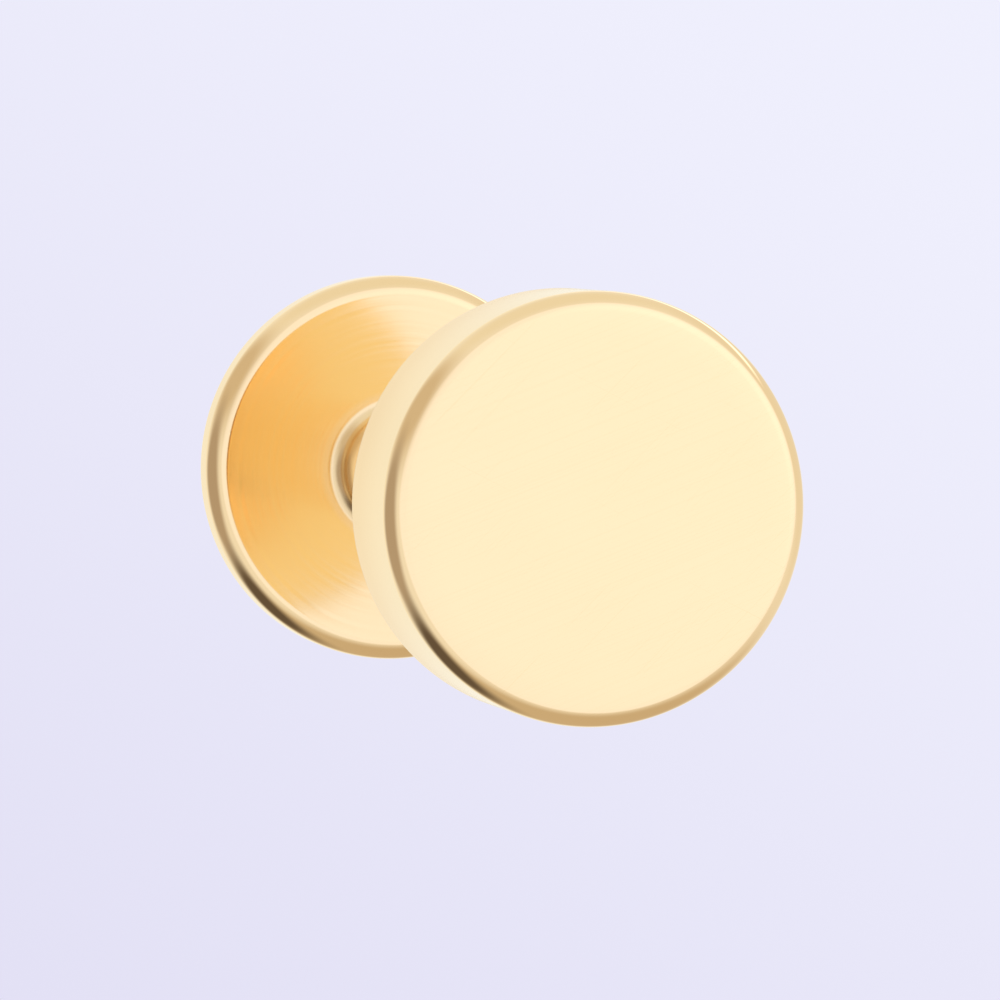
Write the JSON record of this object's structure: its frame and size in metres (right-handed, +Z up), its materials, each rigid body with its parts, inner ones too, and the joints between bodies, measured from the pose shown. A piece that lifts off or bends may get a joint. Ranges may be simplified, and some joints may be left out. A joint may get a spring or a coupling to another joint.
{
  "type": "flat back stud earring",
  "caption": "Flat back stud earring: a polished round gold disc on a push-in pin, held in a hollow post with a flat round back.",
  "frame": {"origin": "on the post's axis, in the back face of the disc, where the front of the ear lies", "axes": "+Y along the post from the disc to the flat back, so the disc faces -Y; +Z up; +X to the right as seen from in front of the disc"},
  "size_m": [0.004, 0.008, 0.004],
  "materials": {
    "polished_gold": "mirror polished pale yellow gold",
    "post_gold": "polished pale yellow gold with fine turning lines"
  },
  "bodies": {
    "root": {"disc_head": "polished_gold", "flat_back_post": "post_gold"}
  },
  "joints": []
}
